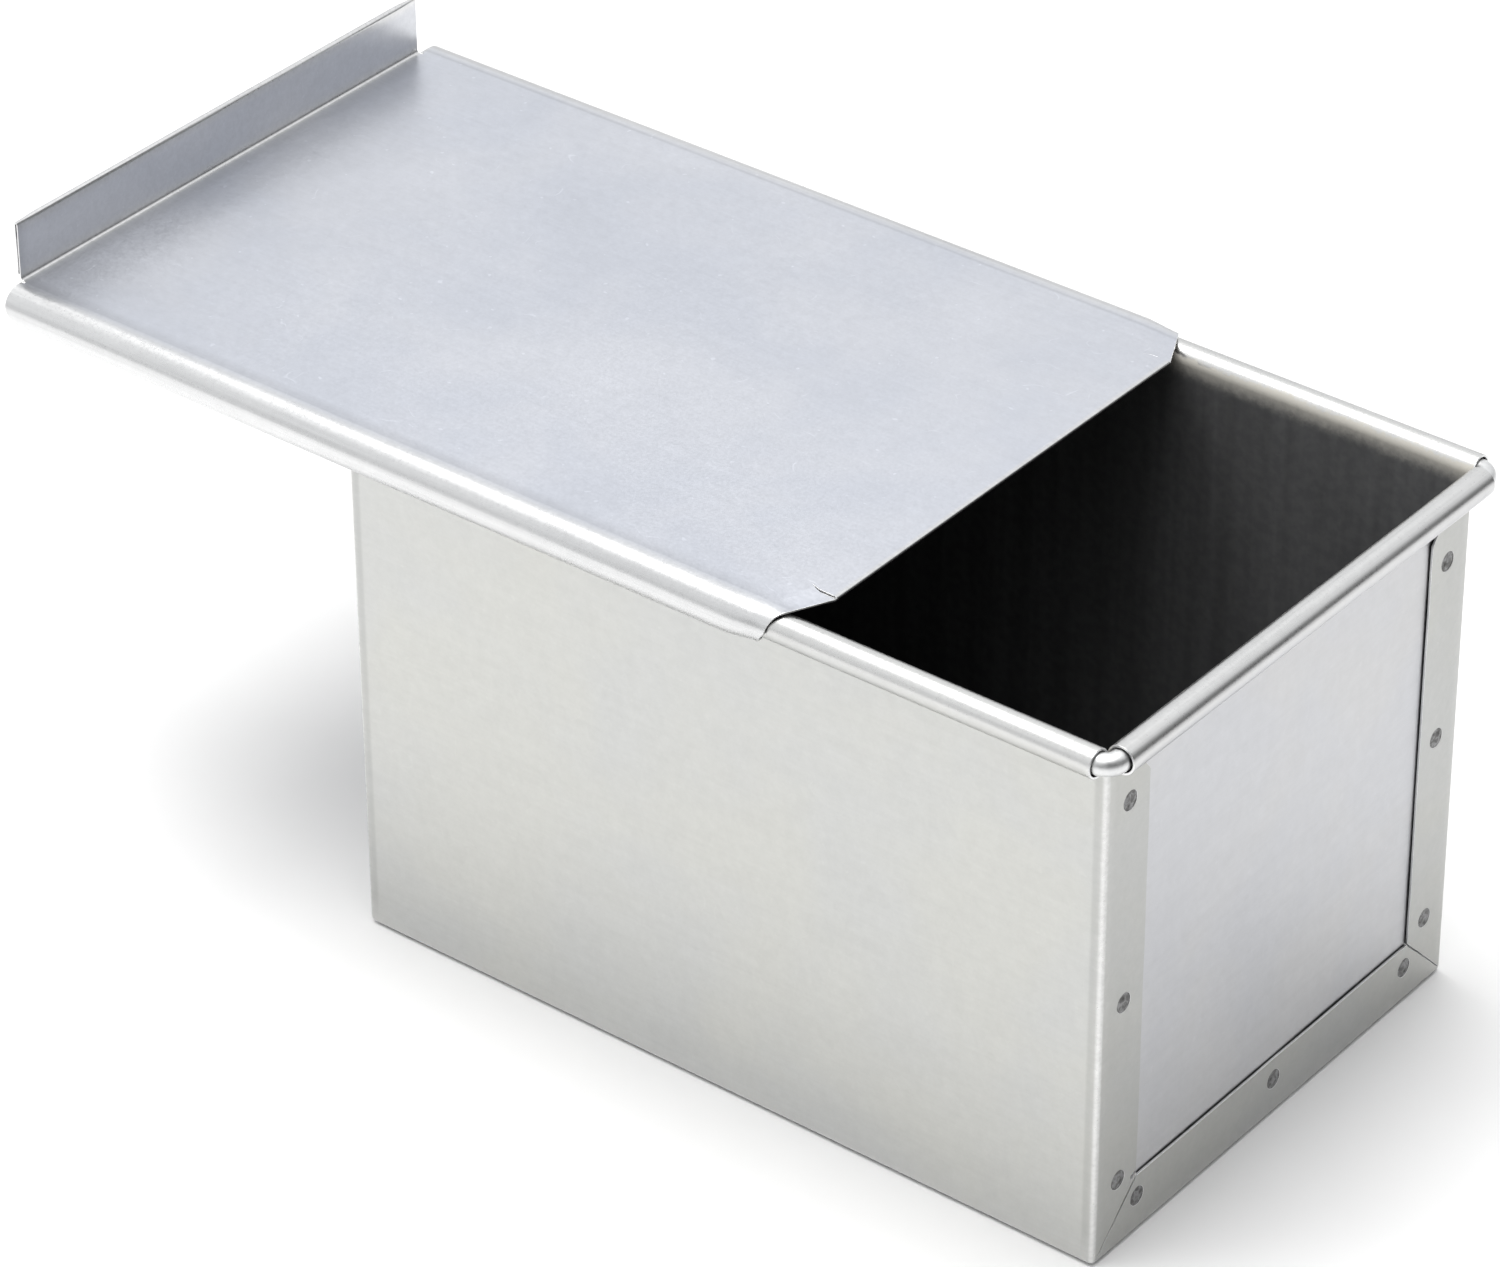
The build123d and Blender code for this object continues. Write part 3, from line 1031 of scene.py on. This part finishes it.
def hairlines(n, scale, width, seed=0.0):
    """Thin curved lines, broken into short pieces."""
    line = n.noise(scale + seed, 1.0, 0.4)
    off = n.math("ABSOLUTE", n.minus(line, 0.5))
    thin = n.minus(1.0, n.ramp(off, 0.0, width))
    here = n.ramp(n.noise(scale * 1.7 + 3.1 + seed, 1.0, 0.5, warp=0.3), 0.64, 0.70)
    return n.times(thin, here)


class SheetSteel(Material):
    """Patterns that the colour, gloss and relief of a sheet share."""

    def __init__(self, name, grain_along):
        super().__init__(name)
        self.fine = self.noise(1500, 3.0, 0.6)
        self.mottle = self.noise(420, 2.0, 0.55)
        self.blotch = self.noise(26, 3.0, 0.5, warp=0.4)
        self.streak = self.noise(1.0, 3.0, 0.6, self.stretched(*grain_along))
        self.rub = self.attribute("rub")
        flat = self.minus(1.0, self.rub)
        scratch = self.plus(hairlines(self, 62, 0.005), hairlines(self, 95, 0.005, 11.0))
        self.scratch = self.times(scratch, flat)
        speck = self.ramp(self.noise(520, 1.0, 0.5), 0.73, 0.77)
        self.speck = self.times(speck, flat)

    def metal(self, cool, warm, wear):
        """Colour of the bare sheet: slow patches, grain, scratches, weld halos, bends and rolls lighter
        from wear and a painted highlight, darker end flanges, and lines of painted shade.
        """
        value = self.spread(self.fine, 0.975, 1.022)
        value = self.times(value, self.spread(self.mottle, 0.98, 1.02))
        value = self.times(value, self.spread(self.blotch, 0.98, 1.015))
        value = self.times(value, self.spread(self.streak, 0.985, 1.015))
        flake = self.math("MULTIPLY_ADD", self.flakes(260), 0.02, 0.99)
        value = self.times(value, flake)
        # Darker end flanges, and painted shade in lines beside the end bends, along the end rolls and
        # beside the lid's curls.
        dull = self.math("MULTIPLY_ADD", self.attribute("dull"), -0.17, 1.0)
        value = self.times(value, dull)
        value = self.plus(value, self.times(self.scratch, wear))
        value = self.plus(value, self.times(self.speck, wear))
        # Painted highlight, partly wear: bends, rolls, curls and the upstand made lighter.
        bright = self.times(self.rub, self.spread(self.streak, 0.04, 0.16))
        halo = self.times(self.attribute("heat"), self.spread(self.mottle, 0.04, 0.12))
        value = self.plus(self.plus(value, bright), halo)
        tint = self.mix(self.ramp(self.blotch, 0.35, 0.65), cool, warm)
        # Worn bends and rolls take a lighter tint, partly a painted highlight.
        tint = self.mix(self.times(self.rub, 0.85), tint, WORN_AND_HIGHLIGHT_TINT)
        return self.scaled(tint, value)

    def coating(self):
        """Colour of the dark coating, with faint upright streaks."""
        drip = self.noise(1.0, 2.0, 0.5, self.stretched(260, 260, 9))
        dark = self.mix(self.ramp(self.mottle, 0.35, 0.65), *COATING_COLOURS)
        dark = self.scaled(dark, self.spread(self.blotch, 0.9, 1.1))
        return self.scaled(dark, self.spread(drip, 0.86, 1.14))

    def coat_cover(self):
        """0 on bare metal to 1 under the full coating, with a soft uneven edge."""
        slow = self.spread(self.noise(110, 3.0, 0.6), -0.35, 0.35)
        quick = self.spread(self.noise(900, 2.0, 0.6), -0.35, 0.35)
        uneven = self.plus(slow, quick)
        return self.ramp(self.plus(self.attribute("coat_depth"), uneven), *COAT_FADE)

    def roughness(self, powder):
        rough = self.plus(0.36, self.spread(self.fine, -0.03, 0.04))
        rough = self.plus(rough, self.spread(self.blotch, -0.02, 0.02))
        rough = self.minus(rough, self.times(self.rub, 0.07))
        return self.plus(rough, self.times(powder, 0.16))

    def relief(self):
        """Grain on the flat sheet, drawn lines on the bends, and scratches."""
        grain_share = self.math("MULTIPLY_ADD", self.rub, -0.4, 0.5)
        streak_share = self.math("MULTIPLY_ADD", self.rub, 0.4, 0.2)
        grain = self.times(self.plus(self.fine, self.mottle), grain_share)
        height = self.plus(grain, self.times(self.streak, streak_share))
        height = self.minus(height, self.times(self.scratch, 0.8))
        return self.bump(height, 0.22, 0.00006)


def coated_steel(name, cool, warm, grain_along, wear):
    """Satin aluminium-coated steel, with a dark baked coating where coat_depth is above zero."""
    n = SheetSteel(name, grain_along)
    cover = n.coat_cover()
    powder = n.ramp(cover, 0.0, 0.06)
    sheet = n.mix(powder, n.metal(cool, warm, wear), OVERSPRAY)
    colour = n.mix(n.ramp(cover, 0.05, 0.95), sheet, n.coating())
    return n.finish(Base_Color=colour, Metallic=n.minus(1.0, powder),
                    Roughness=n.roughness(powder), Normal=n.relief(),
                    Specular_IOR_Level=n.math("MULTIPLY_ADD", powder, -0.35, 0.5))


def cut_steel(name):
    """Bare sheared edge of the sheet: greyer, with fine lines through its thickness."""
    n = Material(name)
    lines_across = n.noise(2600, 3.0, 0.7)
    slow = n.noise(90, 2.0, 0.5)
    value = n.times(n.spread(lines_across, 0.88, 1.12), n.spread(slow, 0.93, 1.07))
    colour = n.scaled(n.mix(slow, (0.70, 0.71, 0.72, 1), (0.76, 0.755, 0.75, 1)), value)
    return n.finish(Base_Color=colour, Metallic=1.0, Roughness=n.spread(lines_across, 0.30, 0.5),
                    Normal=n.bump(lines_across, 0.3, 0.00004))


def wire_steel(name):
    """Bright drawn wire with faint lines and matt patches."""
    n = Material(name)
    grain = n.noise(1200, 3.0, 0.6)
    patch = n.noise(160, 2.0, 0.5)
    value = n.times(n.spread(grain, 0.93, 1.05), n.spread(patch, 0.93, 1.05))
    colour = n.scaled(n.mix(patch, (0.70, 0.71, 0.72, 1), (0.76, 0.76, 0.755, 1)), value)
    return n.finish(Base_Color=colour, Metallic=1.0, Roughness=n.spread(grain, 0.36, 0.46),
                    Normal=n.bump(grain, 0.25, 0.00005))


def weld_steel(name):
    """Fused metal of a spot weld: grey and mottled, darker where it was hottest."""
    n = Material(name)
    grain = n.noise(2200, 3.0, 0.65)
    patch = n.noise(800, 2.0, 0.6, warp=0.6)
    value = n.times(n.spread(grain, 0.85, 1.12), n.spread(patch, 0.75, 1.15))
    metal = n.mix(n.ramp(patch, 0.4, 0.6), (0.165, 0.163, 0.16, 1), (0.27, 0.271, 0.273, 1))
    burnt = n.mix(n.attribute("burn"), metal, (0.075, 0.073, 0.07, 1))
    return n.finish(Base_Color=n.scaled(burnt, value), Metallic=0.85,
                    Roughness=n.spread(grain, 0.45, 0.62), Normal=n.bump(patch, 0.4, 0.00006))


# Stage

CAMERA_AZIMUTH = 38.50
CAMERA_ELEVATION = 33.53
CAMERA_ROLL = -0.383
CAMERA_LENS = 150.69
CAMERA_DISTANCE = 1.2711
CAMERA_RIGHT = -0.03073
CAMERA_UP = 0.06290

# Light: sky brightness from front to rear along SKY_AXIS, and one large lamp overhead
SKY_AXIS = (1.0, -0.4, -0.6)
SKY_FRONT = 0.4
SKY_REAR = -0.15
SKY_DIM = 0.12
SKY_BRIGHT = 1.04
SKY_LOW = 0.0
SKY_HIGH = 0.5
SKY_HORIZON = 0.8
SKY_COLOUR = (0.985, 0.992, 1.0, 1)
KEY_PLACE = (-0.16, -0.06, 1.25)
KEY_WIDTH = 0.85
KEY_DEPTH = 0.9
KEY_POWER = 15
KEY_COLOUR = (1.0, 0.99, 0.975)
FLOOR_REACH = 6.0
FLOOR_Z = -0.3 * MM


def camera():
    """Long lens above the front right corner; a small roll, no shift."""
    azimuth, elevation, roll = (math.radians(v) for v in (CAMERA_AZIMUTH, CAMERA_ELEVATION, CAMERA_ROLL))
    back = Vector((math.sin(azimuth) * math.cos(elevation), -math.cos(azimuth) * math.cos(elevation),
                   math.sin(elevation)))
    level = Vector((math.cos(azimuth), math.sin(azimuth), 0))
    upright = back.cross(level)
    right = level * math.cos(roll) + upright * math.sin(roll)
    up = upright * math.cos(roll) - level * math.sin(roll)
    view = bpy.data.objects.new("camera", bpy.data.cameras.new("camera"))
    bpy.context.scene.collection.objects.link(view)
    view.data.lens = CAMERA_LENS
    view.data.clip_start = 0.05
    view.data.clip_end = 30
    place = Matrix((right, up, back)).transposed().to_4x4()
    place.translation = back * CAMERA_DISTANCE + right * CAMERA_RIGHT + up * CAMERA_UP
    view.matrix_world = place
    bpy.context.scene.camera = view


def softbox(name, place, aim, width, height, energy, colour):
    """Rectangular lamp facing a point."""
    data = bpy.data.lights.new(name, "AREA")
    data.shape = "RECTANGLE"
    data.size = width
    data.size_y = height
    data.energy = energy
    data.color = colour
    lamp = bpy.data.objects.new(name, data)
    bpy.context.scene.collection.objects.link(lamp)
    lamp.location = place
    lamp.rotation_euler = (Vector(place) - Vector(aim)).to_track_quat("Z", "Y").to_euler()


def floor():
    """Plain pale floor, large enough for its edge to be out of every view."""
    mesh = bpy.data.meshes.new("floor")
    signs = ((-1, -1), (1, -1), (1, 1), (-1, 1))
    corners = [(a * FLOOR_REACH, b * FLOOR_REACH, FLOOR_Z) for a, b in signs]
    mesh.from_pydata(corners, [], [(0, 1, 2, 3)])
    surface = bpy.data.objects.new("floor", mesh)
    bpy.context.scene.collection.objects.link(surface)
    n = Material("floor_paint")
    tone = n.noise(40, 2.0, 0.5)
    mesh.materials.append(n.finish(Base_Color=n.scaled((0.9, 0.9, 0.9), n.spread(tone, 0.995, 1.005)),
                                   Roughness=0.9))


def sky():
    """Bright overhead and beyond the rear end, dim beyond the front end, dimmer at the horizon."""
    world = bpy.data.worlds.new("studio")
    bpy.context.scene.world = world
    world.use_nodes = True
    n = Nodes(world.node_tree, "Generated")
    forward = n.make("ShaderNodeVectorMath", {0: n.place, 1: SKY_AXIS}, operation="DOT_PRODUCT")
    split = n.make("ShaderNodeSeparateXYZ", {0: n.place})
    side = n.ramp(forward.outputs["Value"], SKY_FRONT, SKY_REAR, SKY_DIM, SKY_BRIGHT)
    height = n.ramp(split.outputs["Z"], SKY_LOW, SKY_HIGH, SKY_HORIZON, 1.0)
    back = n.tree.nodes["Background"]
    n.link(SKY_COLOUR, back.inputs["Color"])
    n.link(n.times(side, height), back.inputs["Strength"])


def stage():
    camera()
    floor()
    sky()
    softbox("key_light", KEY_PLACE, (0, 0, 0.06), KEY_WIDTH, KEY_DEPTH, KEY_POWER, KEY_COLOUR)
    bpy.context.scene.view_settings.view_transform = "Standard"


# The object

pan_steel = coated_steel("pan_steel", *PAN_COLOURS, GRAIN_ALONG_X, PAN_WEAR)
panel_steel = coated_steel("panel_steel", *PANEL_COLOURS, GRAIN_ALONG_Y, PAN_WEAR)
lid_steel = coated_steel("lid_steel", *LID_COLOURS_WITH_PAINTED_BLUE, GRAIN_ALONG_X, LID_WEAR)
edge_steel = cut_steel("cut_edge_steel")

body_wrapper([pan_steel, edge_steel])
end_panel(1, "front_end_panel", [panel_steel, edge_steel])
end_panel(-1, "rear_end_panel", [panel_steel, edge_steel])
rim_wire(wire_steel("rim_wire_steel"))
fused = weld_steel("weld_metal")
for end_sign, end_label in ((1, "front"), (-1, "rear")):
    for row_seed, row in enumerate(weld_places()):
        weld_row(end_sign, end_label, row, 3 * row_seed + 2, fused)
lid([lid_steel, edge_steel])

stage()
